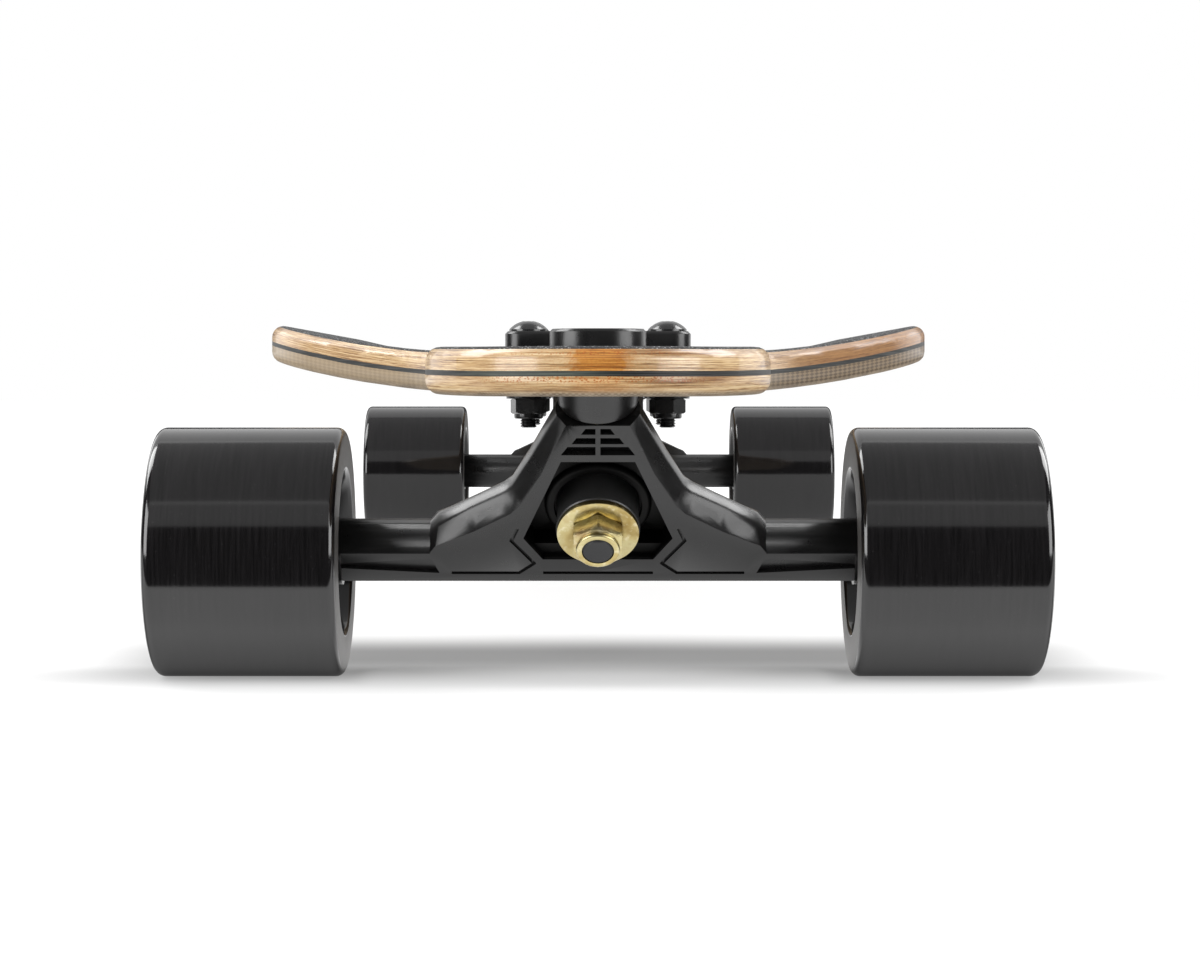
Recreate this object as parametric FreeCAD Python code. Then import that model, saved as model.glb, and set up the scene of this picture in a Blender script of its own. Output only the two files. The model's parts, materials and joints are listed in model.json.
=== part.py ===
"""Drop-through longboard with reverse-kingpin trucks and four urethane wheels.

Millimetres. X runs across the board, Y along it with the nose towards -Y, Z is up.
The origin is on the ground at the middle of the board.
"""

import math
import os

import FreeCAD, Part

V = FreeCAD.Vector
X, Y, Z = V(1, 0, 0), V(0, 1, 0), V(0, 0, 1)
O = V(0, 0, 0)

# Running gear
WHEEL_R = 37.5
WHEEL_W = 56.4
WHEEL_X = 104.4
WHEELBASE = 760.0
TRACK_HALF = WHEELBASE / 2
HANGER_HALF = 90.0
AXLE_R = 4.0
AXLE_HALF = 126.0
STEER_TILT = 50.0

# Deck
DECK_UNDER = 84.8
LAMINATES = (("deck_lower_laminate", 5.4), ("deck_dark_ply", 1.5),
             ("deck_upper_laminate", 5.9), ("grip_tape", 0.8))
DECK_TOP = DECK_UNDER + sum(t for _, t in LAMINATES)
CONCAVE_FLAT = 28.0
CONCAVE_R = 360.0
EDGE_ROUND = 4.2
# corners of a quarter of the deck's outline, each with the radius that rounds it
OUTLINE = ((27.0, 478.0, 40.0), (50.5, 437.0, 80.0), (46.0, 297.0, 120.0), (124.0, 190.0, 100.0))
SLOT_HALF = 15.5
SLOT_REAR, SLOT_FRONT = -44.0, 64.0

# Truck, in a frame that is turned with the steering axis:
# x across, p up the steering axis from the axle, t along the kingpin, away from the deck
RAKE = -3.5
KINGPIN_P = 19.0
KINGPIN_R = 4.75
FACE_T = 7.7
TUBE_R = 10.0
UNDERSIDE = 8.7
WEB = (-5.5, -1.5)
RING_R = 16.0
RING_HOLE_R = 7.5
RING_RIM = 2.0
BUSHING_R = 12.5
BUSHING_GAP = 0.3
PIVOT_MOUTH = 57.4
PLATE_Z = (DECK_TOP - LAMINATES[-1][1], DECK_TOP + 5.4)
PLATE_HALF, TONGUE_HALF = 27.5, 13.75
GRIP_CLEAR = 0.8
PLATE_REAR, PLATE_FRONT, TONGUE_FRONT = -60.0, 21.0, 62.0
BOLT_X = 20.65
BOLT_YF = (13.5, -40.5)
SPARE_YF = -50.0
BOLT_R = 2.5
DOME_R, DOME_TALL = 5.7, 2.6
THREAD_PITCH = 0.8
MOUNT_WASHER_R = 6.6

# 608 bearings, seated this far out along the axle
BEARINGS = ((91.0, 98.0), (108.0, 115.0))


def box(x0, x1, y0, y1, z0, z1):
    return Part.makeBox(x1 - x0, y1 - y0, z1 - z0, V(x0, y0, z0))


def cyl(r, start, end, axis=Z, at=O):
    """Cylinder about a line through at, from start to end along the axis."""
    return Part.makeCylinder(r, end - start, at + axis * start, axis)


def tube(r_out, r_in, start, end, axis=Z, at=O):
    return cyl(r_out, start, end, axis, at).cut(cyl(r_in, start - 1, end + 1, axis, at))


def prism(points, z0, z1):
    """Straight-sided solid over a closed outline in the first two axes."""
    wire = Part.makePolygon([V(a, b, z0) for a, b in points] + [V(*points[0], z0)])
    return Part.Face(wire).extrude(V(0, 0, z1 - z0))


def mirrored(half):
    """A closed outline from its right half, listed from one end to the other."""
    return [(a, b) for a, b in half] + [(-a, b) for a, b in reversed(half) if a > 1e-6]


def revolve(points, axis, at=O):
    """Solid of revolution; each point is (distance along the axis, radius)."""
    side = Z if abs(axis.x) > 0.5 else X
    wire = Part.makePolygon([at + axis * a + side * r for a, r in points + [points[0]]])
    return Part.Face(wire).revolve(at, axis, 360)


def hexagon(flats, start, end, axis=Z, at=O, turn=0.0):
    """Hexagonal prism with its flats this far apart, its ends chamfered like a nut's."""
    r = flats / math.sqrt(3)
    ring = [V(r * math.cos(math.radians(a + turn)), r * math.sin(math.radians(a + turn)), start)
            for a in range(0, 361, 60)]
    bar = Part.Face(Part.makePolygon(ring)).extrude(V(0, 0, end - start))
    lead = (r - flats / 2) * 0.6
    shell = revolve([(start, 0), (start, flats / 2), (start + lead, r + 0.01),
                     (end - lead, r + 0.01), (end, flats / 2), (end, 0)], Z)
    bar = bar.common(shell)
    bar.Placement = FreeCAD.Placement(at, FreeCAD.Rotation(Z, axis)).multiply(bar.Placement)
    return bar


def fuse(shapes):
    solid = shapes[0]
    for other in shapes[1:]:
        solid = solid.fuse(other)
    return solid.removeSplitter()


def cut(solid, tools):
    for tool in tools:
        solid = solid.cut(tool)
    return solid


# ---------------------------------------------------------------- deck

def rounded(corners):
    """Closed outline of straight lines, each corner (x, y, r) rounded to its own radius."""
    edges, last, first = [], None, None
    count = len(corners)
    for i, (x, y, r) in enumerate(corners):
        here = V(x, y, 0)
        back = (V(*corners[i - 1][:2], 0) - here).normalize()
        on = (V(*corners[(i + 1) % count][:2], 0) - here).normalize()
        half = back.getAngle(on) / 2
        reach = r / math.tan(half)
        start, end = here + back * reach, here + on * reach
        middle = here + (back + on).normalize() * (r / math.sin(half) - r)
        if last is not None:
            edges.append(Part.makeLine(last, start))
        first = first or start
        edges.append(Part.Arc(start, middle, end).toShape())
        last = end
    edges.append(Part.makeLine(last, first))
    return Part.Wire(edges)


def deck_outline():
    """The board's edge seen from above."""
    corners = [(x, y, r) for x, y, r in OUTLINE]
    corners += [(x, -y, r) for x, y, r in reversed(corners)]
    corners += [(-x, y, r) for x, y, r in reversed(corners)]
    return Part.Face(rounded(corners))


def concave_slab(z0, z1):
    """A slab of the deck's cross-section between two heights at its middle."""
    def edges(z):
        centre, r = DECK_TOP + CONCAVE_R, CONCAVE_R + DECK_TOP - z
        out = []
        for s in (1, -1):
            def at(reach):
                return V(s * (CONCAVE_FLAT + reach), 0, centre - math.sqrt(r * r - reach * reach))
            out.append(Part.Arc(at(0), at(50), at(100)).toShape())
        flat = Part.makeLine(V(-CONCAVE_FLAT, 0, z), V(CONCAVE_FLAT, 0, z))
        ends = [V(s * (CONCAVE_FLAT + 100), 0, centre - math.sqrt(r * r - 10000)) for s in (1, -1)]
        return out + [flat], ends
    low, low_ends = edges(z0)
    high, high_ends = edges(z1)
    sides = [Part.makeLine(a, b) for a, b in zip(low_ends, high_ends)]
    wire = Part.Wire(Part.__sortEdges__(low + high + sides))
    return Part.Face(wire).extrude(V(0, 1000, 0)).translated(V(0, -500, 0))


def slot(z0, z1, inset=0.0):
    """The opening that one truck is dropped through, made smaller all round by the inset."""
    hole = box(inset - SLOT_HALF, SLOT_HALF - inset, inset - SLOT_FRONT, -SLOT_REAR - inset, z0, z1)
    return hole.makeFillet(6.0 - inset, [e for e in hole.Edges if upright(e)])


def footprint(z0, z1, grow=0.0):
    """The baseplate's outline seen from above, as a slab: a rectangle with a round tongue."""
    plate = box(-PLATE_HALF - grow, PLATE_HALF + grow, -PLATE_FRONT - grow, grow - PLATE_REAR, z0, z1)
    plate = plate.makeFillet(5.0 + grow, [e for e in plate.Edges if upright(e)])
    tongue = box(-TONGUE_HALF - grow, TONGUE_HALF + grow, -TONGUE_FRONT - grow, 0, z0, z1)
    corners = [e for e in tongue.Edges if upright(e) and e.Vertexes[0].Y < -50]
    return plate.fuse(tongue.makeFillet(11.0 + grow, corners)).removeSplitter()


def upright(edge):
    return abs(edge.tangentAt(edge.FirstParameter).z) > 0.99


def deck():
    """The board and its grip, sliced from one rounded solid; the grip is cut away at the trucks."""
    prism_ = deck_outline().extrude(V(0, 0, 60)).translated(V(0, 0, 70))
    solid = concave_slab(DECK_UNDER, DECK_TOP).common(prism_)
    rim = [e for e in solid.Edges if not upright(e) and on_outline(e)]
    solid = solid.makeFillet(EDGE_ROUND, rim)
    holes = [place(slot(70, 120), end) for end in ENDS]
    holes += [place(cyl(BOLT_R + 0.15, 70, 120, Z, V(s * BOLT_X, -yf, 0)), end)
              for end in ENDS for s in (1, -1) for yf in BOLT_YF]
    solid = cut(solid, holes)
    layers, z = {}, DECK_UNDER
    for name, thick in LAMINATES:
        layers[name] = solid.common(concave_slab(z, z + thick))
        z += thick
    cleared = [place(footprint(95, 120, GRIP_CLEAR), end) for end in ENDS]
    layers["grip_tape"] = cut(layers["grip_tape"], cleared)
    return layers


def on_outline(edge):
    """True for the edges that run round the board rather than across its flat."""
    a, b = edge.valueAt(edge.FirstParameter), edge.valueAt(edge.LastParameter)
    across = abs(abs(a.x) - CONCAVE_FLAT) < 0.01 and abs(abs(b.x) - CONCAVE_FLAT) < 0.01
    return not (across and abs(a.x - b.x) < 0.01)


# ---------------------------------------------------------------- truck

ENDS = ("front", "rear")
TRUCK = FreeCAD.Placement(V(0, 0, WHEEL_R), FreeCAD.Rotation(X, 180 - STEER_TILT))
STEER_AT = V(0, 0, RAKE)
KING_AT = V(0, KINGPIN_P, 0)


def place(shape, end):
    """Moves a part built about the axle's middle to its end of the board."""
    shape = shape.copy()
    if end == "rear":
        shape.rotate(O, Z, 180)
    shape.translate(V(0, TRACK_HALF if end == "rear" else -TRACK_HALF, 0))
    return shape


def tilt(shape):
    """From the truck's own x, p, t frame to upright."""
    shape = shape.copy()
    shape.Placement = TRUCK.multiply(shape.Placement)
    return shape


FACE_HALF = ((0, -4.7), (50.2, -4.7), (50.2, 6.9), (48.4, 9.6), (37, 15.3), (26.0, 22.4),
             (23.0, 25.6), (16.5, 38.3), (9.2, 56.9), (0, 56.9))
SIDE_HALF = ((0, -4.7), (51.6, -4.7), (51.6, 8.2), (47.6, 14.0), (37.6, 20.4), (28.2, 26.2),
             (25.4, 28.8), (20.0, 39.8), (12.2, 56.9), (0, 56.9))
# how far the hanger's side has gone from FACE_HALF to SIDE_HALF at each height t above its middle
FLANK = ((0.0, 1.0), (1.6, 1.0), (2.5, 0.96), (3.3, 0.86), (7.7, 0.0))
WINDOW_HALF = ((0, 4.0), (16.5, 4.0), (22.2, 12.6), (10.8, 43.0), (0, 43.0))
LEDGE_P, LEDGE_T = 7.9, 4.7
VENTS = ((53.5, 55.7, 4.9, 3.6), (49.9, 52.2, 7.6, 6.2), (45.6, 48.8, 10.8, 8.8))
GROOVES = (((0, -1.5), (16.2, -1.5)), ((23.9, -1.5), (43.7, -1.5)), ((24.0, 16.2), (25.8, 11.6)),
           ((25.8, 11.6), (19.1, 2.4)), ((19.1, 2.4), (23.7, -1.5)))
TUBE_RECESS = ((47.6, -1.6), (77.5, 0.4), (77.5, 2.2), (50.0, 4.4))


def groove(a, b, width=1.1, depth=1.0):
    """A shallow straight groove in the hanger's face, mirrored on both sides."""
    length = math.dist(a, b)
    bar = box(-0.3, length + 0.3, -width / 2, width / 2, FACE_T - depth, FACE_T + 1)
    angle = math.degrees(math.atan2(b[1] - a[1], b[0] - a[0]))
    bar.rotate(O, Z, angle)
    bar.translate(V(a[0], a[1], 0))
    return [bar, bar.mirror(O, X)]


def hanger():
    """Cast hanger: axle tube, triangular face with a window, kingpin ring and pivot pin."""
    wires = []
    for t, share in [(-t, share) for t, share in reversed(FLANK[1:])] + list(FLANK):
        ring = mirrored([(a + (c - a) * share, b + (d - b) * share)
                         for (a, b), (c, d) in zip(FACE_HALF, SIDE_HALF)])
        wires.append(Part.makePolygon([V(a, b, t) for a, b in ring] + [V(*ring[0], t)]))
    body = Part.makeLoft(wires, True, True)
    axle_tube = cyl(TUBE_R, -HANGER_HALF, HANGER_HALF, X)
    axle_tube = axle_tube.makeChamfer(0.8, [e for e in axle_tube.Edges if e.Closed])
    body = body.fuse(axle_tube)
    opening = prism(mirrored(WINDOW_HALF), WEB[1], FACE_T + 1)
    window = opening.cut(box(-30, 30, 0, LEDGE_P, WEB[1] - 1, LEDGE_T))
    back = prism(mirrored(WINDOW_HALF), -FACE_T - 1, WEB[0])
    body = cut(body, [window, back, box(-77, 77, -12, 12, FACE_T, FACE_T + 5)])
    rim = cyl(RING_R, WEB[0] - RING_RIM, WEB[1] + RING_RIM, Z, KING_AT)
    rim = rim.makeFillet(1.5, [e for e in rim.Edges if e.Closed])
    pin = revolve([(48, 0), (48, 7.4), (56.7, 7.4), (58.2, 6.5), (65, 6.5), (70.2, 3.6), (70.8, 0)],
                  Y, STEER_AT)
    body = fuse([body, rim, pin])
    cuts = [cyl(RING_HOLE_R, -20, 20, Z, KING_AT), cyl(AXLE_R, -100, 100, X)]
    cuts += [cyl(BUSHING_R + 0.7, WEB[1], 20, Z, KING_AT), cyl(BUSHING_R + 0.7, -20, WEB[0], Z, KING_AT)]
    for low, high, wide, narrow in VENTS:
        vent = prism(((0.7, low), (wide, low), (narrow, high), (0.7, high)), FACE_T - 2.5, FACE_T + 1)
        cuts += [vent, vent.mirror(O, X)]
    for a, b in GROOVES:
        cuts += groove(a, b)
    recess = prism(TUBE_RECESS, FACE_T - 1.5, FACE_T + 1)
    cuts += [recess, recess.mirror(O, X)]
    flat = box(-77, 77, -50, 50, 0, WHEEL_R - UNDERSIDE)
    return tilt(cut(body, cuts)).cut(flat)


def baseplate():
    """Plate on the deck, with the pivot housing and the kingpin boss hanging through the slot."""
    low, high = PLATE_Z
    plate = footprint(low, high)
    plate = plate.makeChamfer(0.8, [e for e in plate.Edges if min(v.Z for v in e.Vertexes) > high - 0.01])
    housing = tilt(revolve([(PIVOT_MOUTH, 0), (PIVOT_MOUTH, 11.2), (PIVOT_MOUTH + 0.8, 11.8),
                            (70, 12.3), (78, 13.6), (100, 13.6), (100, 0)], Y, STEER_AT))
    boss = tilt(cyl(14.0, -90, -22.0, Z, KING_AT))
    inside = slot(40, low + 0.5, 1.0)
    spine = slot(92, low + 0.5, 4.0)
    body = fuse([plate, housing.common(inside), boss.common(inside), spine])
    cuts = [tilt(revolve([(PIVOT_MOUTH - 1, 0), (PIVOT_MOUTH - 1, 9.5), (66, 9.5), (73, 6), (73, 0)],
                         Y, STEER_AT)),
            tilt(cyl(KINGPIN_R, -60, 0, Z, KING_AT)), tilt(cyl(9.2, -80, -52, Z, KING_AT))]
    cuts += [cyl(BOLT_R + 0.15, low - 2, high + 2, Z, V(s * BOLT_X, -yf, 0))
             for s in (1, -1) for yf in BOLT_YF + (SPARE_YF,)]
    return cut(body, cuts)


def pivot_cup():
    """Urethane cup round the hanger's pivot pin, with a running clearance to it."""
    outer = revolve([(PIVOT_MOUTH, 0), (PIVOT_MOUTH, 9.5), (66, 9.5), (73, 6), (73, 0)], Y, STEER_AT)
    inner = revolve([(56.6, 0), (56.6, 7.5), (58.2, 6.56), (65.02, 6.56), (70.25, 3.66), (70.9, 0)],
                    Y, STEER_AT)
    return tilt(outer.cut(inner))


def bushing(start, end, wide):
    """A urethane barrel round the kingpin; wide is its waist radius."""
    middle = (start + end) / 2
    return tilt(revolve([(start, KINGPIN_R + 0.1), (start, BUSHING_R - 0.8), (start + 0.8, BUSHING_R),
                         (middle, wide), (end - 0.8, BUSHING_R), (end, BUSHING_R - 0.8),
                         (end, KINGPIN_R + 0.1)], Z, KING_AT))


def cup_washer(face, away, r):
    """A pressed washer whose rim turns towards the bushing; away is +1 or -1 along the kingpin."""
    rim = 1.1
    ring = tube(r, KINGPIN_R + 0.1, min(face, face + away * 1.5), max(face, face + away * 1.5), Z, KING_AT)
    lip = tube(r, r - 0.6, min(face - away * rim, face), max(face - away * rim, face), Z, KING_AT)
    return tilt(ring.fuse(lip).removeSplitter())


def kingpin():
    shaft = cyl(KINGPIN_R, -52, 20.5, Z, KING_AT)
    tip = [e for e in shaft.Edges if e.Closed and e.CenterOfMass.z > 20]
    return tilt(shaft.makeChamfer(0.7, tip).fuse(hexagon(14.3, -58, -52, Z, KING_AT)).removeSplitter())


def lock_nut(flats, start, tall, collar, bore, axis, at, turn=0.0):
    """Hexagon nut with a round collar for its nylon ring."""
    body = hexagon(flats, start, start + tall, axis, at, turn)
    ring = cyl(flats / 2 * 0.9, start + tall, start + tall + collar, axis, at)
    outer = [e for e in ring.Edges if e.Closed and (e.CenterOfMass - at).Length > start + tall + 0.1]
    ring = ring.makeFillet(0.6, outer)
    return body.fuse(ring).removeSplitter().cut(cyl(bore, start - 1, start + tall + collar + 1, axis, at))


def bolt_places(z=0.0):
    return [V(s * BOLT_X, -yf, z) for s in (1, -1) for yf in BOLT_YF]


def mounting_bolts():
    """Four dome-headed bolts with a hexagon socket each, threaded where they leave their nuts."""
    high = PLATE_Z[1]
    dome_r = (DOME_R ** 2 + DOME_TALL ** 2) / (2 * DOME_TALL)
    thread = [(75.2, 0), (75.2, 2.0)]
    for i in range(3):
        crest = 75.6 + THREAD_PITCH * i
        thread += [(crest, BOLT_R), (crest + THREAD_PITCH / 2, 2.05)]
    solids = []
    for at in bolt_places():
        cap = cyl(DOME_R, high + 0.6, high + 6, Z, at)
        dome = Part.makeSphere(dome_r, at + Z * (high + 0.6 + DOME_TALL - dome_r)).common(cap)
        flange = cyl(DOME_R, high, high + 0.6, Z, at)
        end = crest + THREAD_PITCH
        shank = revolve(thread + [(end, BOLT_R), (high, BOLT_R), (high, 0)], Z, at)
        bolt = dome.fuse(flange).fuse(shank).removeSplitter()
        solids.append(bolt.cut(hexagon(3.2, high + 1.2, high + 5, Z, at)))
    return Part.Compound(solids)


def mounting_washers():
    return Part.Compound([tube(MOUNT_WASHER_R, BOLT_R + 0.1, DECK_UNDER - 1, DECK_UNDER, Z, at)
                          for at in bolt_places()])


def mounting_nuts():
    return Part.Compound([lock_nut(9.53, 0, 4.5, 1.5, BOLT_R, Z * -1, at, 12)
                          for at in bolt_places(DECK_UNDER - 1)])


def axle():
    rod = cyl(AXLE_R, -AXLE_HALF, AXLE_HALF, X, V(0, 0, WHEEL_R))
    return rod.makeChamfer(0.8, [e for e in rod.Edges if e.Closed])


def both_sides(make):
    """The same parts on both ends of one axle."""
    solids = []
    for s in (1, -1):
        solids += make(X * s, V(0, 0, WHEEL_R))
    return Part.Compound(solids)


def speed_washers():
    return both_sides(lambda axis, at: [tube(6.1, AXLE_R, a, a + 1, axis, at) for a in (90, 115)])


def spacers():
    return both_sides(lambda axis, at: [tube(5.6, AXLE_R, BEARINGS[0][1], BEARINGS[1][0], axis, at)])


def axle_nuts():
    return both_sides(lambda axis, at: [lock_nut(13.0, 116, 6.5, 1.5, AXLE_R, axis, at)])


def inner_races():
    def make(axis, at):
        return [tube(6.05, AXLE_R, a, b, axis, at).cut(
            Part.makeTorus(BALL_PITCH, 2.08, at + axis * (a + b) / 2, axis)) for a, b in BEARINGS]
    return both_sides(make)


# ---------------------------------------------------------------- wheels

BALL_PITCH = 7.8
BALL_R = 1.985
SIDES = (("left", 1), ("right", -1))


def tyre(axis, at):
    """Urethane tyre with small radiused lips and a deep recess in each face."""
    half, lip = WHEEL_W / 2, 2.6
    arc = [(half - lip + lip * math.cos(math.radians(a)), WHEEL_R - lip + lip * math.sin(math.radians(a)))
           for a in (0, 30, 60, 90)]
    side = [(14.0, 23.8), (half - 0.6, 24.9), (half, 25.5)] + arc
    profile = [(WHEEL_X + a, r) for a, r in side] + [(WHEEL_X - a, r) for a, r in reversed(side)]
    solid = revolve(profile, axis, at)
    return solid


def core(axis, at):
    """Moulded core: two bearing seats on a web with a ring of windows, inside a rim."""
    (a0, a1), (b0, b1) = BEARINGS
    mid = (a0 + b1) / 2
    hub = revolve([(a0 - 0.6, 11), (a0 - 0.6, 13.2), (a0 + 0.4, 13.8), (b1 - 0.4, 13.8), (b1 + 0.6, 13.2),
                   (b1 + 0.6, 11), (b0, 11), (b0, 9.9), (a1, 9.9), (a1, 11)], axis, at)
    web = tube(22, 13.5, mid - 3, mid + 3, axis, at)
    rim = tube(23.8, 21.6, WHEEL_X - 14, WHEEL_X + 14, axis, at)
    body = fuse([hub, web, rim])
    drill = cyl(2.6, mid - 5, mid + 5, axis, at + V(0, 0, 17.6))
    for i in range(10):
        hole = drill.copy()
        hole.rotate(at, axis, 36 * i)
        body = body.cut(hole)
    return body


def outer_races(axis, at):
    return Part.Compound([tube(11, 9.6, a, b, axis, at).cut(
        Part.makeTorus(BALL_PITCH, 2.05, at + axis * (a + b) / 2, axis)) for a, b in BEARINGS])


def shields(axis, at):
    faces = [f for a, b in BEARINGS for f in (a + 0.3, b - 0.7)]
    return Part.Compound([tube(9.6, 6.4, f, f + 0.4, axis, at) for f in faces])


def balls(axis, at):
    solids = []
    for a, b in BEARINGS:
        for i in range(7):
            ball = Part.makeSphere(BALL_R, at + axis * (a + b) / 2 + V(0, 0, BALL_PITCH))
            ball.rotate(at, axis, i * 360 / 7)
            solids.append(ball)
    return Part.Compound(solids)


# ---------------------------------------------------------------- nodes

def truck():
    """Every fixed and steered part of one truck, built about the middle of its axle."""
    kw = dict(axis=tilt_dir(Z), at=tilt_point(KING_AT))
    return {
        "baseplate": baseplate(),
        "pivot_cup": pivot_cup(),
        "kingpin": kingpin(),
        "kingpin_nut": lock_nut(14.3, 12.6, 6.1, 1.5, KINGPIN_R, turn=30, **kw),
        "roadside_washer": cup_washer(11.1, 1, 12.15),
        "boardside_washer": cup_washer(-20.5, -1, 13.2),
        "roadside_bushing": bushing(WEB[1] + BUSHING_GAP, 11.1, 12.1).cut(cup_washer(11.1, 1, 12.15)),
        "boardside_bushing": bushing(-20.5, WEB[0] - BUSHING_GAP, 12.1),
        "mounting_bolts": mounting_bolts(),
        "mounting_washers": mounting_washers(),
        "mounting_nuts": mounting_nuts(),
        "hanger": hanger(),
        "axle": axle(),
        "axle_nuts": axle_nuts(),
        "speed_washers": speed_washers(),
        "bearing_spacers": spacers(),
        "bearing_inner_races": inner_races(),
    }


def tilt_dir(v):
    return TRUCK.Rotation.multVec(v)


def tilt_point(v):
    return TRUCK.multVec(v)


def wheel(side):
    axis, at = X * side, V(0, 0, WHEEL_R)
    return {"tyre": tyre(axis, at), "core": core(axis, at), "bearing_outer_races": outer_races(axis, at),
            "bearing_shields": shields(axis, at), "bearing_balls": balls(axis, at)}


def nodes():
    found = dict(deck())
    parts = truck()
    for end in ENDS:
        for name, shape in parts.items():
            found[end + "_" + name] = place(shape, end)
        for side, sign in SIDES:
            across = sign if end == "front" else -sign
            for name, shape in wheel(across).items():
                found["_".join((end, side, name))] = place(shape, end)
    return found


def main():
    os.makedirs("parts", exist_ok=True)
    for name, shape in nodes().items():
        shape.exportStep("parts/" + name + ".step")


main()
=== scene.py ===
"""Looks for a drop-through longboard: finishes, turned wheels, urethane bushings and studio."""
import json
import math

import bmesh
import bpy
from mathutils import Matrix, Vector


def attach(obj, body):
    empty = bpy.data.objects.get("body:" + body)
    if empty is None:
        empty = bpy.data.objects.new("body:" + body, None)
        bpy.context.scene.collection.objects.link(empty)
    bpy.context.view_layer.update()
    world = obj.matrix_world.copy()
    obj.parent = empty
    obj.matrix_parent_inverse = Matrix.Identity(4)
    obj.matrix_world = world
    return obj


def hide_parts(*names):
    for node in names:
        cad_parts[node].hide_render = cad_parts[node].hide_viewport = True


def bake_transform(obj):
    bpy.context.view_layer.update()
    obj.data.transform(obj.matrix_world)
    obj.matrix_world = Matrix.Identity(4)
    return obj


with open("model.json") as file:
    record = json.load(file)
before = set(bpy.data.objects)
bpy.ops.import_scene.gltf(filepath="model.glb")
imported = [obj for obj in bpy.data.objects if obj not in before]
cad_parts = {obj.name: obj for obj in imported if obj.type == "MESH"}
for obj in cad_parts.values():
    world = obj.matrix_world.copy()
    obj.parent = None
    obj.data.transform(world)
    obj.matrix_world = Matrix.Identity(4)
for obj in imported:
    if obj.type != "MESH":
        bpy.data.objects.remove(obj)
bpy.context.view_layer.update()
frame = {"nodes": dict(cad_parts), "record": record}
scene = bpy.context.scene

ENDS = ("front", "rear")
SIDES = ("left", "right")
HALF_BASE = 0.380
WHEEL_R = 0.0375
WHEEL_MIDDLE = 0.1044
WHEEL_HALF = 0.0282
AXLE_Z = WHEEL_R
DECK_TOP = 0.0984
CONCAVE_FLAT = 0.028
CONCAVE_R = 0.360
STEER_TILT = math.radians(50)
KINGPIN_UP = 0.019
# how far below the grip's face the upper and lower veneers start and stop, in millimetres
UPPER_VENEERS = (0.8, 6.7)
LOWER_VENEERS = (8.2, 13.6)
# how far from the board's middle its nose and tail take over from its sides, in millimetres
NOSE_EDGE = (455.0, 470.0)


# ---------------------------------------------------------------- finishes

class Wire:
    """A shader value that takes part in sums; each sum adds its own Math node."""

    def __init__(self, finish, socket):
        self.finish, self.socket = finish, socket

    def maths(self, operation, *others):
        return self.finish.add("ShaderNodeMath", {"operation": operation}, dict(enumerate((self,) + others)))

    def __add__(self, other):
        return self.maths("ADD", other)

    __radd__ = __add__

    def __mul__(self, other):
        return self.maths("MULTIPLY", other)

    __rmul__ = __mul__

    def __sub__(self, other):
        return self.maths("SUBTRACT", other)

    def __rsub__(self, other):
        return self * -1.0 + other

    def __truediv__(self, other):
        return self.maths("DIVIDE", other)

    def __pow__(self, other):
        return self.maths("POWER", other)

    def __abs__(self):
        return self.maths("ABSOLUTE")

    def step(self, low, high):
        """0 below low, 1 above high and a soft rise between them; low may be the larger one."""
        flip = low > high
        ends = {1: min(low, high), 2: max(low, high), 3: 1.0 if flip else 0.0, 4: 0.0 if flip else 1.0}
        return self.finish.add("ShaderNodeMapRange", {"interpolation_type": "SMOOTHSTEP"}, {0: self, **ends})


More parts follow.
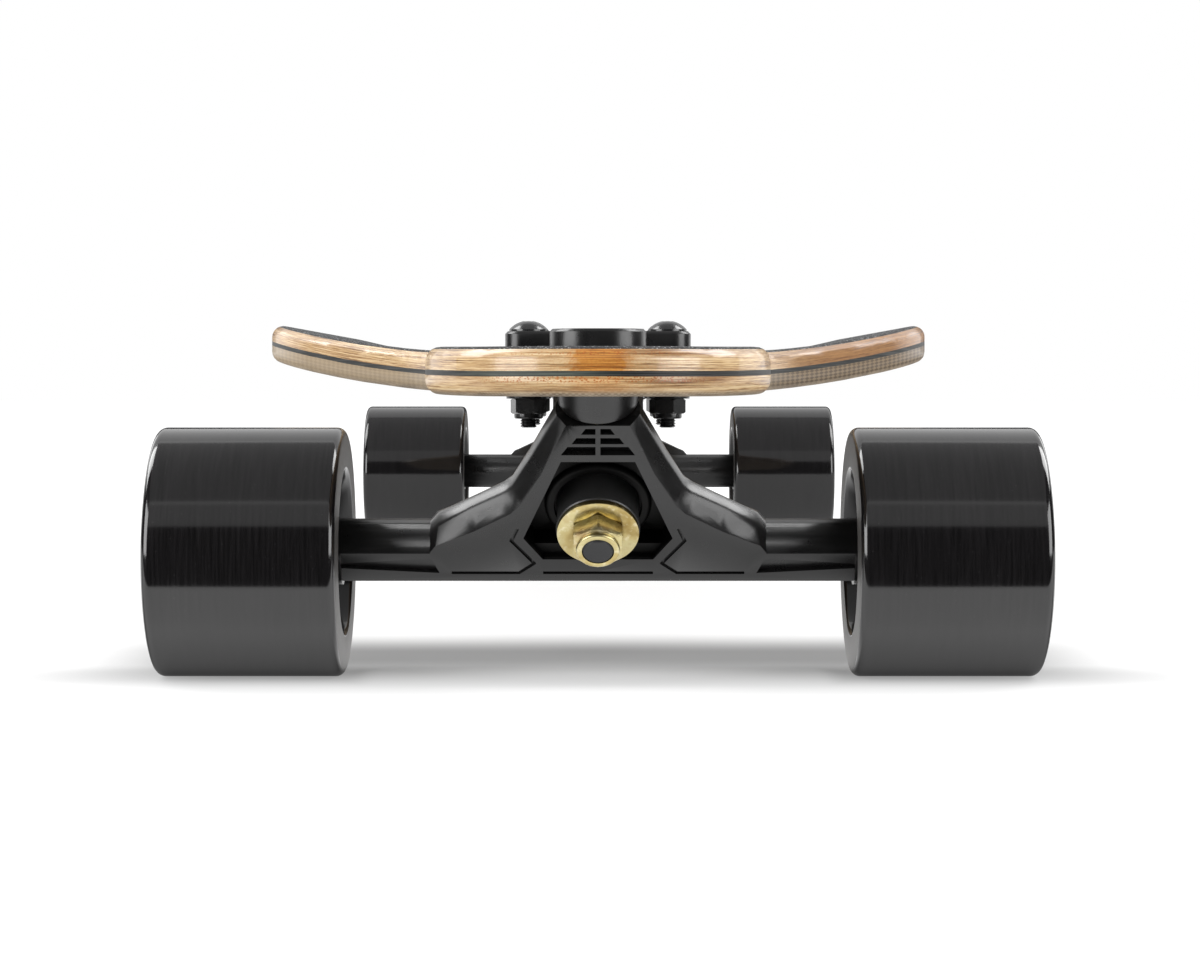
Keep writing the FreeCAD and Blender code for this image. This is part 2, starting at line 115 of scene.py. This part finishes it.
class Finish:
    """A material made of one coated surface and whatever drives it."""

    def __init__(self, name, **surface):
        self.material = bpy.data.materials.new(name)
        self.material.use_nodes = True
        self.tree = self.material.node_tree
        self.tree.nodes.clear()
        self.surface = self.tree.nodes.new("ShaderNodeBsdfPrincipled")
        out = self.tree.nodes.new("ShaderNodeOutputMaterial")
        self.tree.links.new(self.surface.outputs[0], out.inputs[0])
        place = self.tree.nodes.new("ShaderNodeTexCoord")
        self.point = Wire(self, place.outputs["Object"])
        self.normal = Wire(self, place.outputs["Normal"])
        self.set(**surface)

    def add(self, kind, settings, inputs, out=0):
        node = self.tree.nodes.new(kind)
        for key, value in settings.items():
            if key == "stops":
                ramp = node.color_ramp
                while len(ramp.elements) < len(value):
                    ramp.elements.new(0.5)
                for element, (at, colour) in zip(ramp.elements, value):
                    element.position, element.color = at, (*colour, 1.0)
            else:
                setattr(node, key, value)
        for key, value in inputs.items():
            self.feed(node.inputs[key], value)
        return Wire(self, node.outputs[out])

    def feed(self, socket, value):
        if isinstance(value, Wire):
            self.tree.links.new(value.socket, socket)
        elif hasattr(socket.default_value, "__len__") and len(socket.default_value) == 4 and len(value) == 3:
            socket.default_value = (*value, 1.0)
        else:
            socket.default_value = value

    def set(self, **surface):
        for key, value in surface.items():
            self.feed(self.surface.inputs[key.replace("_", " ")], value)

    def axes(self, of=None):
        """The three parts of a point or direction, lengths in millimetres for a point."""
        source = self.point if of is None else of
        node = self.tree.nodes.new("ShaderNodeSeparateXYZ")
        self.tree.links.new(source.socket, node.inputs[0])
        parts = [Wire(self, node.outputs[i]) for i in range(3)]
        return [p * 1000.0 for p in parts] if of is None else parts

    def spot(self, x, y, z):
        return self.add("ShaderNodeCombineXYZ", {}, {0: x, 1: y, 2: z})

    def noise(self, at, scale, detail=3.0, rough=0.55):
        inputs = {"Vector": at, "Scale": scale, "Detail": detail, "Roughness": rough}
        return self.add("ShaderNodeTexNoise", {}, inputs)

    def cells(self, at, scale, out=0):
        return self.add("ShaderNodeTexVoronoi", {}, {"Vector": at, "Scale": scale}, out)

    def ramp(self, factor, *stops):
        return self.add("ShaderNodeValToRGB", {"stops": stops}, {0: factor})

    def mix(self, factor, a, b, blend="MIX"):
        return self.add("ShaderNodeMix", {"data_type": "RGBA", "blend_type": blend},
                        {0: factor, 6: a, 7: b}, 2)

    def bump(self, height, depth, strength=1.0):
        self.set(Normal=self.add("ShaderNodeBump", {}, {"Height": height, "Distance": depth,
                                                       "Strength": strength}))


def from_axle(finish):
    """Distance across the board, and distance out from the nearer axle's line."""
    x, y, z = finish.axes()
    out = abs(y) - HALF_BASE * 1000
    up = z - AXLE_Z * 1000
    return x, out, up, (out * out + up * up) ** 0.5


def veneer(name, span, plies, nose_stain, wing_stain, woven):
    """Clear-coated maple: veneer lines round the edge, end grain at the tips, glass weave underneath."""
    low, high = span
    f = Finish(name, Coat_Roughness=0.12, IOR=1.40)
    x, y, z = f.axes()
    reach = (abs(x) - CONCAVE_FLAT * 1000).maths("MAXIMUM", 0.0)
    fall = (DECK_TOP + CONCAVE_R) * 1000 - z
    depth = (reach * reach + fall * fall) ** 0.5 - CONCAVE_R * 1000
    _, ny, nz = f.axes(f.normal)
    sheet = (depth - low) / (high - low) * plies
    ply = sheet.maths("FLOOR")
    within = sheet - ply
    streak = f.noise(f.spot(x * 0.030, y * 0.030, depth * 2.9), 1.0, 5.0, 0.70)
    fibre = f.noise(f.spot(x * 0.20, y * 0.20, depth * 8.5), 1.0, 3.0, 0.6)
    tone = f.noise(f.spot(x * 0.014 + ply * 7.3, y * 0.014, ply * 3.1), 1.0, 2.0)
    grain = streak * 0.55 + fibre * 0.30 + tone * 0.15
    colour = f.ramp(grain, (0.39, (0.080, 0.034, 0.010)), (0.45, (0.21, 0.115, 0.044)),
                    (0.50, (0.36, 0.235, 0.108)), (0.55, (0.46, 0.335, 0.185)), (0.63, (0.54, 0.425, 0.275)))
    broken = f.noise(f.spot(x * 0.05, y * 0.05, ply), 1.0, 3.0).step(0.40, 0.6)
    glue = abs(within - 0.5).step(0.44, 0.5) * broken
    colour = f.mix(glue * 0.70, colour, (0.12, 0.060, 0.020))
    nose = abs(y).step(*NOSE_EDGE)
    top_ply = depth.step(low + 1.9, low + 1.3)
    dots = f.cells(f.spot(x * 1.3, y * 1.3, depth * 1.7), 1.0).step(0.55, 0.25)
    end_grain = abs(ny).step(0.55, 0.95) * (top_ply * 0.75 + 0.22) * dots
    colour = f.mix(end_grain, colour, (0.30, 0.110, 0.025))
    ragged = f.noise(f.spot(x * 0.7, y * 0.7, depth * 1.3), 1.0, 3.0) * 8.0 - 4.0
    centre = abs(x - 0.6 + ragged).step(10.5, 3.5) * nose
    colour = f.mix((centre * nose_stain).maths("MINIMUM", 0.95), colour, (0.84, 0.50, 0.13), "MULTIPLY")
    blotch = f.noise(f.spot(x * 0.022, y * 0.013, ply * 0.7), 1.0, 3.0).step(0.48, 0.64)
    wings = x.step(44.0, 80.0) + (x * -1.0).step(60.0, 125.0) * 0.25
    amber = x.step(2.0, 16.0) * x.step(48.0, 30.0) * top_ply * 0.6 * nose
    stain = (blotch * 0.35 + wings * wing_stain + amber).maths("MINIMUM", 0.95) * (0.55 + streak * 0.7)
    colour = f.mix(stain, colour, (0.42, 0.245, 0.090), "MULTIPLY")
    weave = (x * 3.6).maths("SINE") * (y * 3.6).maths("SINE")
    under = (nz * -1.0).step(0.55, 0.9)
    board = f.noise(f.spot(x * 0.16, y * 0.012, 0.0), 1.0, 6.0, 0.6)
    face = f.ramp(board, (0.32, (0.075, 0.050, 0.028)), (0.5, (0.16, 0.115, 0.068)),
                  (0.68, (0.24, 0.18, 0.115)))
    face = f.mix(weave.step(-0.6, 0.9) * 0.40, face, (0.36, 0.30, 0.215))
    cloth_lines = ((x + depth * 1.6) * 1.7).maths("SINE") * ((x - depth * 1.6) * 1.7).maths("SINE")
    cloth = f.mix(cloth_lines.step(-0.4, 0.4), (0.045, 0.030, 0.016), (0.130, 0.096, 0.057))
    cloth = f.mix(x.step(70.0, 20.0) * 0.50, cloth, (0.29, 0.222, 0.138))
    bare_cloth = (1.0 - nose) * abs(x).step(50.0, 56.0) * woven
    colour = f.mix(bare_cloth, colour, cloth)
    belly = (nz * -1.0).step(0.10, 0.55)
    thin_coat = x.step(78.0, 86.0) * x.step(114.0, 104.0)
    f.set(Base_Color=f.mix(under, colour, face), Roughness=0.30 + grain * 0.16 + belly * 0.35,
          Coat_Weight=0.40 * (1.0 - belly) * (1.0 - bare_cloth * 0.7) * (1.0 - thin_coat * 0.7))
    f.bump((streak * 0.5 + fibre * 0.5) * (1.0 - under) + weave * under * 0.4, 0.00005, 0.5)
    return f.material


def dark_ply():
    """Dyed veneer, greyer on one half of the nose and tail."""
    f = Finish("dyed_ply", IOR=1.35)
    x, y, z = f.axes()
    line = f.noise(f.spot(x * 0.04, y * 0.04, z * 3.6), 1.0, 4.0, 0.62)
    # greyer on the negative-x half of the nose and tail
    greyer_half = x.step(10.0, -8.0) * abs(y).step(*NOSE_EDGE)
    pale = f.ramp(line, (0.36, (0.010, 0.012, 0.010)), (0.50, (0.030, 0.036, 0.029)),
                  (0.64, (0.080, 0.090, 0.075)))
    black = f.ramp(line, (0.36, (0.004, 0.004, 0.004)), (0.50, (0.009, 0.010, 0.009)),
                   (0.68, (0.050, 0.050, 0.048)))
    f.set(Base_Color=f.mix(greyer_half, black, pale), Roughness=0.4 + line * 0.2)
    f.bump(line, 0.00005, 0.5)
    return f.material


def grip():
    """Black grit: packed grains with a few that catch the light."""
    f = Finish("grip_grit", Roughness=0.85)
    grain = f.cells(f.point, 2300.0)
    tint = f.cells(f.point, 2300.0, 1)
    patch = f.noise(f.point, 26.0, 4.0)
    shine = f.axes(tint)[0].step(0.80, 0.96)
    base = f.ramp(patch, (0.35, (0.007, 0.007, 0.0075)), (0.65, (0.015, 0.015, 0.0155)))
    f.set(Base_Color=f.mix(shine * 0.8, base, (0.17, 0.17, 0.173)), Roughness=0.92 - shine * 0.40)
    f.bump(grain, 0.00030, 0.8)
    return f.material


def powder_coat():
    """Satin black coat over a cast surface, with painted shade in the pockets beside the kingpin: darker
    there through colour and metallic, and rougher.
    """
    f = Finish("satin_black_coat", IOR=1.42)
    x, out, up, _ = from_axle(f)
    peel = f.noise(f.point, 1500.0, 2.0)
    cast = f.noise(f.point, 170.0, 4.0)
    film = f.noise(f.point, 34.0, 3.0)
    along = out * math.cos(STEER_TILT) + up * math.sin(STEER_TILT)
    height = out * math.sin(STEER_TILT) - up * math.cos(STEER_TILT)
    wide = (22.2 - (along - 12.6) * 0.375).maths("MINIMUM", 16.5 + (along - 4.0) * 0.663)
    # painted shade: the pockets beside the kingpin are darkened as if shaded deep inside, and left rougher
    pocket_painted_shade = (wide - abs(x)).step(-1.2, -0.4) * along.step(2.8, 3.6) * along.step(43.9, 43.2)
    pocket_painted_shade = pocket_painted_shade * height.step(6.9, 6.2) * height.step(-3.4, -2.6)
    level_top = f.axes(f.normal)[2].step(0.90, 0.98)
    base = f.ramp(film, (0.3, (0.0038, 0.0037, 0.0038)), (0.7, (0.0072, 0.0070, 0.0071)))
    f.set(Base_Color=f.mix(pocket_painted_shade, base, (0.010, 0.0098, 0.0095)), Metallic=pocket_painted_shade * 0.9,
          Roughness=0.20 + cast * 0.12 + film * 0.06 + pocket_painted_shade * 0.20 + level_top * 0.28)
    f.bump(peel * 0.5 + cast * 0.5, 0.00006, 0.5)
    return f.material


def wheel_urethane():
    """Cast black tread, skimmed on a lathe, with its side faces ground dull in rings."""
    f = Finish("cast_urethane", IOR=1.48)
    x, out, up, r = from_axle(f)
    nx = abs(f.axes(f.normal)[0])
    skim = f.noise(f.spot(x * 1.4, out * 0.05, up * 0.05), 1.0, 5.0, 0.6)
    rings = f.noise(f.spot(r * 4.2, 0.0, 0.0), 1.0, 3.0) * 0.6 + (r * 13.0).maths("SINE") * 0.2 + 0.2
    dust = f.cells(f.point, 420.0).step(0.10, 0.03)
    ground = nx.step(0.90, 0.985) * r.step(25.1, 25.9)
    tread = f.ramp(skim, (0.3, (0.0020, 0.0018, 0.0019)), (0.7, (0.0066, 0.0060, 0.0064)))
    tread = f.mix(dust * 0.12, tread, (0.10, 0.10, 0.10))
    side = f.ramp(rings, (0.3, (0.008, 0.0075, 0.007)), (0.7, (0.050, 0.046, 0.043)))
    f.set(Base_Color=f.mix(ground, tread, side), Roughness=0.07 + skim * 0.10 + ground * 0.40)
    f.bump(skim * (1.0 - ground) * 0.06 + rings * ground, 0.00005, 0.4)
    return f.material


def moulded(name, low, high, roughness, texture=900.0, depth=0.00005, ior=1.5):
    """Moulded black plastic or urethane with a faint sparked texture."""
    f = Finish(name, IOR=ior)
    fine = f.noise(f.point, texture, 3.0)
    cloud = f.noise(f.point, 60.0, 3.0)
    f.set(Base_Color=f.ramp(cloud, (0.3, low), (0.7, high)), Roughness=roughness - 0.06 + fine * 0.12)
    f.bump(fine, depth, 0.5)
    return f.material


def turned_steel(name, low, high, roughness, rings=True):
    """Bright steel with the marks of turning round its axle."""
    f = Finish(name, Metallic=1.0)
    x, _, _, r = from_axle(f)
    marks = f.noise(f.spot(x * 3.0, r * 3.0, 0.0), 1.0, 3.0) if rings else f.noise(f.point, 1400.0, 3.0)
    smear = f.noise(f.point, 120.0, 4.0)
    f.set(Base_Color=f.ramp(smear, (0.3, low), (0.7, high)), Roughness=roughness - 0.08 + marks * 0.16)
    f.bump(marks, 0.00003, 0.5)
    return f.material


def yellow_zinc():
    """Yellow passivated plating: pale gold that drifts towards green and pink."""
    f = Finish("yellow_zinc", Metallic=1.0)
    drift = f.noise(f.point, 95.0, 3.0)
    pock = f.cells(f.point, 900.0)
    rub = f.noise(f.point, 420.0, 5.0, 0.65)
    colour = f.ramp(drift, (0.28, (0.22, 0.155, 0.052)), (0.45, (0.36, 0.290, 0.128)),
                    (0.58, (0.41, 0.36, 0.190)), (0.72, (0.28, 0.19, 0.085)))
    f.set(Base_Color=f.mix(rub.step(0.50, 0.72) * 0.6, colour, (0.60, 0.55, 0.38)),
          Roughness=0.22 + rub * 0.18)
    f.bump(pock * 0.4 + rub * 0.6, 0.00009, 0.6)
    return f.material


FINISHES = {
    "lower_veneers": veneer("maple_lower", LOWER_VENEERS, 4.0, 0.40, 0.55, 0.9),
    "upper_veneers": veneer("maple_upper", UPPER_VENEERS, 5.0, 1.3, 0.95, 0.0),
    "dark_ply": dark_ply(),
    "grip": grip(),
    "black_casting": powder_coat(),
    "cup_urethane": moulded("pivot_urethane", (0.012, 0.012, 0.012), (0.022, 0.022, 0.022), 0.42),
    "black_steel": moulded("black_oxide", (0.007, 0.007, 0.008), (0.016, 0.016, 0.017), 0.42,
                           1300.0, ior=1.36),
    "yellow_zinc": yellow_zinc(),
    "bushing_urethane": moulded("bushing_urethane", (0.008, 0.008, 0.008), (0.014, 0.014, 0.014), 0.38,
                                700.0),
    "bolt_black": moulded("gloss_black_plating", (0.008, 0.008, 0.008), (0.016, 0.016, 0.016), 0.20,
                          600.0, 0.00003),
    "axle_steel": turned_steel("axle_steel", (0.36, 0.36, 0.36), (0.55, 0.55, 0.56), 0.32),
    "axle_nut_steel": turned_steel("nut_steel", (0.42, 0.42, 0.41), (0.62, 0.62, 0.61), 0.30, False),
    "bearing_steel": turned_steel("bearing_steel", (0.50, 0.50, 0.51), (0.66, 0.66, 0.67), 0.22),
    "bearing_shield": moulded("shield_rubber", (0.018, 0.018, 0.019), (0.032, 0.032, 0.033), 0.45),
    "wheel_urethane": wheel_urethane(),
    "wheel_core": moulded("core_nylon", (0.010, 0.010, 0.010), (0.018, 0.018, 0.018), 0.33, 800.0),
}

slot_of = {s["node"]: s["material_slot"] for s in frame["record"]["subparts"]}


def coat(piece, slot):
    """Gives a piece its slot's finish and no other."""
    piece.data.materials.clear()
    piece.data.materials.append(FINISHES[slot])


# ---------------------------------------------------------------- edges of the machined and cast parts

FACET_GAP = 1e-6
REAL_EDGE = math.radians(28)


def smoothing():
    """Joins a node's facets and shades it smooth except across real edges."""
    group = bpy.data.node_groups.new("even_shading", "GeometryNodeTree")
    group.interface.new_socket("Geometry", in_out="INPUT", socket_type="NodeSocketGeometry")
    group.interface.new_socket("Geometry", in_out="OUTPUT", socket_type="NodeSocketGeometry")
    new, link = group.nodes.new, group.links.new
    start = new("NodeGroupInput")
    end = new("NodeGroupOutput")
    weld = new("GeometryNodeMergeByDistance")
    soft = new("GeometryNodeSetShadeSmooth")
    sharp = new("GeometryNodeSetShadeSmooth")
    weld.inputs["Distance"].default_value = FACET_GAP
    angle = new("GeometryNodeInputMeshEdgeAngle")
    over = new("FunctionNodeCompare")
    over.operation = "GREATER_THAN"
    over.inputs[1].default_value = REAL_EDGE
    sharp.domain = "EDGE"
    sharp.inputs["Shade Smooth"].default_value = False
    link(start.outputs[0], weld.inputs[0])
    link(weld.outputs[0], soft.inputs[0])
    link(soft.outputs[0], sharp.inputs[0])
    link(angle.outputs[0], over.inputs[0])
    link(over.outputs[0], sharp.inputs["Selection"])
    link(sharp.outputs[0], end.inputs[0])
    return group


EVEN = smoothing()
BROKEN_EDGES = {"hanger": 0.0004, "baseplate": 0.0004, "kingpin_nut": 0.00015, "roadside_washer": 0.0002,
                "boardside_washer": 0.0002, "mounting_washers": 0.0001}

for name, node in frame["nodes"].items():
    coat(node, slot_of[name])
    for kind, width in BROKEN_EDGES.items():
        if name.endswith(kind):
            weld = node.modifiers.new("join_facets", "WELD")
            weld.merge_threshold = FACET_GAP
            rounding = node.modifiers.new("broken_edges", "BEVEL")
            rounding.width, rounding.segments = width, 2
            rounding.limit_method, rounding.angle_limit = "ANGLE", REAL_EDGE
    even = node.modifiers.new("even_shading", "NODES")
    even.node_group = EVEN


# ---------------------------------------------------------------- turned and moulded pieces

def finished(mesh, name, slot, body, stands_for=None, smooth=True):
    """Turns a bmesh into a piece that rides on a body in the given finish."""
    bmesh.ops.remove_doubles(mesh, verts=mesh.verts, dist=1e-7)
    bmesh.ops.recalc_face_normals(mesh, faces=mesh.faces)
    data = bpy.data.meshes.new(name)
    for face in mesh.faces:
        face.smooth = smooth
    for edge in mesh.edges:
        edge.smooth = not edge.is_manifold or edge.calc_face_angle(0.0) < math.radians(35)
    mesh.to_mesh(data)
    mesh.free()
    piece = bpy.data.objects.new(name, data)
    scene.collection.objects.link(piece)
    coat(piece, slot)
    if stands_for:
        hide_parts(stands_for)
    if body:
        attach(piece, body)
    return piece


def lathe(profile, steps, place):
    """A closed turned shape from (distance along, radius) points; place stands its own Z axis on the part."""
    mesh = bmesh.new()
    points = [mesh.verts.new((r, 0, a)) for a, r in profile]
    edges = [mesh.edges.new((p, q)) for p, q in zip(points, points[1:] + points[:1])]
    bmesh.ops.spin(mesh, geom=points + edges, cent=(0, 0, 0), axis=(0, 0, 1), angle=math.tau,
                   steps=steps, use_merge=True)
    bmesh.ops.transform(mesh, matrix=place, verts=mesh.verts)
    return mesh


def axle_place(end, side):
    """Stands a turned piece on the axle line, its own axis pointing out to one side."""
    turn = Matrix.Rotation(math.radians(90 if side == "left" else -90), 4, "Y")
    return Matrix.Translation((0, -HALF_BASE if end == "front" else HALF_BASE, AXLE_Z)) @ turn


def kingpin_place(end):
    """Stands a turned piece on the kingpin, its own axis pointing down and away from the deck."""
    sign = -1 if end == "front" else 1
    down = Vector((0, sign * math.sin(STEER_TILT), -math.cos(STEER_TILT)))
    up = Vector((0, sign * math.cos(STEER_TILT), math.sin(STEER_TILT)))
    at = Vector((0, sign * HALF_BASE, AXLE_Z)) + up * KINGPIN_UP
    return Matrix.Translation(at) @ down.to_track_quat("Z", "Y").to_matrix().to_4x4()


def arc(a, r, radius, start, stop, count):
    """Points round a rounded corner whose centre is (a, r), between two angles in degrees."""
    angles = [math.radians(start + (stop - start) * i / count) for i in range(count + 1)]
    return [(a + radius * math.cos(t), r + radius * math.sin(t)) for t in angles]


def tyre_profile():
    """Half section of the tyre, from the inner recess round the tread to the outer one."""
    middle, half, lip = WHEEL_MIDDLE, WHEEL_HALF, 0.0026
    outer = [(middle + 0.014, 0.0238), (middle + half - 0.0012, 0.02486)]
    outer += arc(middle + half - 0.0006, 0.0256, 0.0006, -60, 0, 3)
    outer += [(middle + half, 0.0300)] + arc(middle + half - lip, WHEEL_R - lip, lip, 0, 90, 8)
    inner = [(2 * middle - a, r) for a, r in reversed(outer)]
    return outer + [(middle, WHEEL_R)] + inner


for end in ENDS:
    for side in SIDES:
        mesh = lathe(tyre_profile(), 160, axle_place(end, side))
        finished(mesh, f"{end}_{side}_tread", "wheel_urethane", f"{end}_{side}_wheel", f"{end}_{side}_tyre")


def bushing_profile(start, stop, inner=0.00485, outer=0.0125, waist=0.0121):
    """Half section of a barrel with a slight waist, in rings along its length, and the kingpin's bore."""
    lip = 0.0008
    side = arc(start + lip, outer - lip, lip, 180, 90, 4)
    side += [(start + (stop - start) * i / 12, outer + (waist - outer) * math.sin(math.pi * i / 12))
             for i in range(2, 11)]
    side += arc(stop - lip, outer - lip, lip, 90, 0, 4)
    bore = [(stop - (stop - start) * i / 10, inner) for i in range(11)]
    return side + bore


for end in ENDS:
    place = kingpin_place(end)
    for name, start, stop, fixed, turning in (
            ("roadside_bushing", -0.0012, 0.0111, 0.0105, -0.0010),
            ("boardside_bushing", -0.0205, -0.0058, -0.0200, -0.0062)):
        mesh = lathe(bushing_profile(start, stop), 96, place)
        piece = finished(mesh, f"{end}_{name}_urethane", "bushing_urethane", None, f"{end}_{name}")
        place @ Vector((0, 0, fixed))
        place @ Vector((0, 0, turning))
        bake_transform(piece)


# ---------------------------------------------------------------- camera, light and floor

camera = bpy.data.objects.new("camera", bpy.data.cameras.new("camera"))
scene.collection.objects.link(camera)
camera.data.sensor_width = 36.0
camera.data.lens = 83.73
camera.data.shift_y = -0.0807
camera.location = (0.0006, -1.224, 0.0884)
camera.rotation_euler = (math.radians(90), 0, 0)
scene.camera = camera
scene.view_settings.view_transform = "Standard"


def softbox(name, at, size, power, aim=(0, 0, 0.05)):
    """A soft rectangular light that faces its aim and isn't seen itself."""
    lamp = bpy.data.objects.new(name, bpy.data.lights.new(name, "AREA"))
    scene.collection.objects.link(lamp)
    lamp.data.shape = "RECTANGLE"
    lamp.data.size, lamp.data.size_y = size
    lamp.data.energy = power
    lamp.location = at
    lamp.rotation_euler = (Vector(aim) - Vector(at)).to_track_quat("-Z", "Y").to_euler()
    lamp.visible_camera = False


softbox("overhead", (0, -0.6, 2.2), (2.4, 3.6), 14, (0, -0.6, 0))
softbox("back_wall", (0, 2.4, 2.05), (6.0, 2.5), 50)
softbox("left_side", (-1.48, -1.38, 0.60), (1.3, 1.2), 42)
softbox("right_side", (1.48, -1.38, 0.60), (1.3, 1.2), 36)
softbox("left_top", (-1.35, 0.3, 1.5), (1.0, 1.4), 44)
softbox("right_top", (1.35, 0.3, 1.5), (1.0, 1.4), 44)
softbox("left_back", (-1.5, 1.3, 0.50), (1.3, 0.9), 6)
softbox("right_back", (1.5, 1.3, 0.50), (1.3, 0.9), 6)
softbox("front_fill", (0, -2.15, 1.42), (2.6, 0.95), 6.0, (0, -0.38, 0.04))


def level(name, low, high, z, finish):
    """A level rectangle of the studio between two corners."""
    mesh = bmesh.new()
    bmesh.ops.create_grid(mesh, x_segments=1, y_segments=1, size=0.5)
    size = Vector((high[0] - low[0], high[1] - low[1], 1))
    bmesh.ops.scale(mesh, vec=size, verts=mesh.verts)
    bmesh.ops.translate(mesh, vec=((low[0] + high[0]) / 2, (low[1] + high[1]) / 2, z), verts=mesh.verts)
    data = bpy.data.meshes.new(name)
    mesh.to_mesh(data)
    mesh.free()
    plane = bpy.data.objects.new(name, data)
    scene.collection.objects.link(plane)
    data.materials.append(finish.material)
    return plane


def lit_matt(name, white, glow_of):
    """Matt white lit from beneath; glow_of works out how brightly from x and y in millimetres."""
    f = Finish(name, Base_Color=(white, white, white), Roughness=0.8, Emission_Strength=1.0)
    x, y, z = f.axes()
    glow = glow_of(x, y)
    f.set(Emission_Color=f.add("ShaderNodeCombineXYZ", {}, {0: glow, 1: glow, 2: glow}))
    return f


def far_glow(x, y):
    """Brighter with distance, with a painted shadow: a soft dim band under each truck."""
    middle = abs(y) - 335.0
    # painted shadow: the floor's glow is cut in a soft band under each truck
    painted_shadow_band = middle.step(-110.0, -30.0) * middle.step(120.0, -10.0) * abs(x).step(185.0, 110.0)
    far = ((x * x * 1.6 + y * y * 0.7) ** 0.5).step(250.0, 1100.0)
    return (0.76 + far * 0.24) * (1.0 - painted_shadow_band)


def mirrored_glow(x, y):
    """What the black parts mirror, with painted shadow: dark where the front wheels stand, and painted shade
    dimming it towards the tail.
    """
    # painted shadow: darker along the front wheels' contact line, less so between the wheels
    painted_contact_shadow = abs(y + HALF_BASE * 1000).step(6.0, 38.0).maths("MAXIMUM", abs(x).step(76.0, 66.0) * 0.70)
    # painted shade: dimmer towards the tail, under the board
    return (1.0 - y.step(-350.0, -150.0) * 0.45) * (0.05 + painted_contact_shadow * 0.95) * 1.9


floor = level("floor", (-12, -12), (12, 12), -0.0003, lit_matt("pale_floor", 0.13, far_glow))
floor.visible_glossy = False
mirrored = lit_matt("lit_floor", 0.04, mirrored_glow)
reflected = level("reflected_floor", (-12, -0.470), (12, 12), -0.0002, mirrored)
reflected.visible_camera = reflected.visible_diffuse = reflected.visible_shadow = False

world = bpy.data.worlds.new("studio")
scene.world = world
world.use_nodes = True
nodes, links = world.node_tree.nodes, world.node_tree.links
nodes.clear()
seen = nodes.new("ShaderNodeBackground")
unseen = nodes.new("ShaderNodeBackground")
path = nodes.new("ShaderNodeLightPath")
either = nodes.new("ShaderNodeMixShader")
sky = nodes.new("ShaderNodeOutputWorld")
seen.inputs[0].default_value, seen.inputs[1].default_value = (1, 1, 1, 1), 1.0
unseen.inputs[0].default_value, unseen.inputs[1].default_value = (0.9, 0.93, 1.0, 1), 0.045
links.new(path.outputs["Is Camera Ray"], either.inputs[0])
links.new(unseen.outputs[0], either.inputs[1])
links.new(seen.outputs[0], either.inputs[2])
links.new(either.outputs[0], sky.inputs[0])
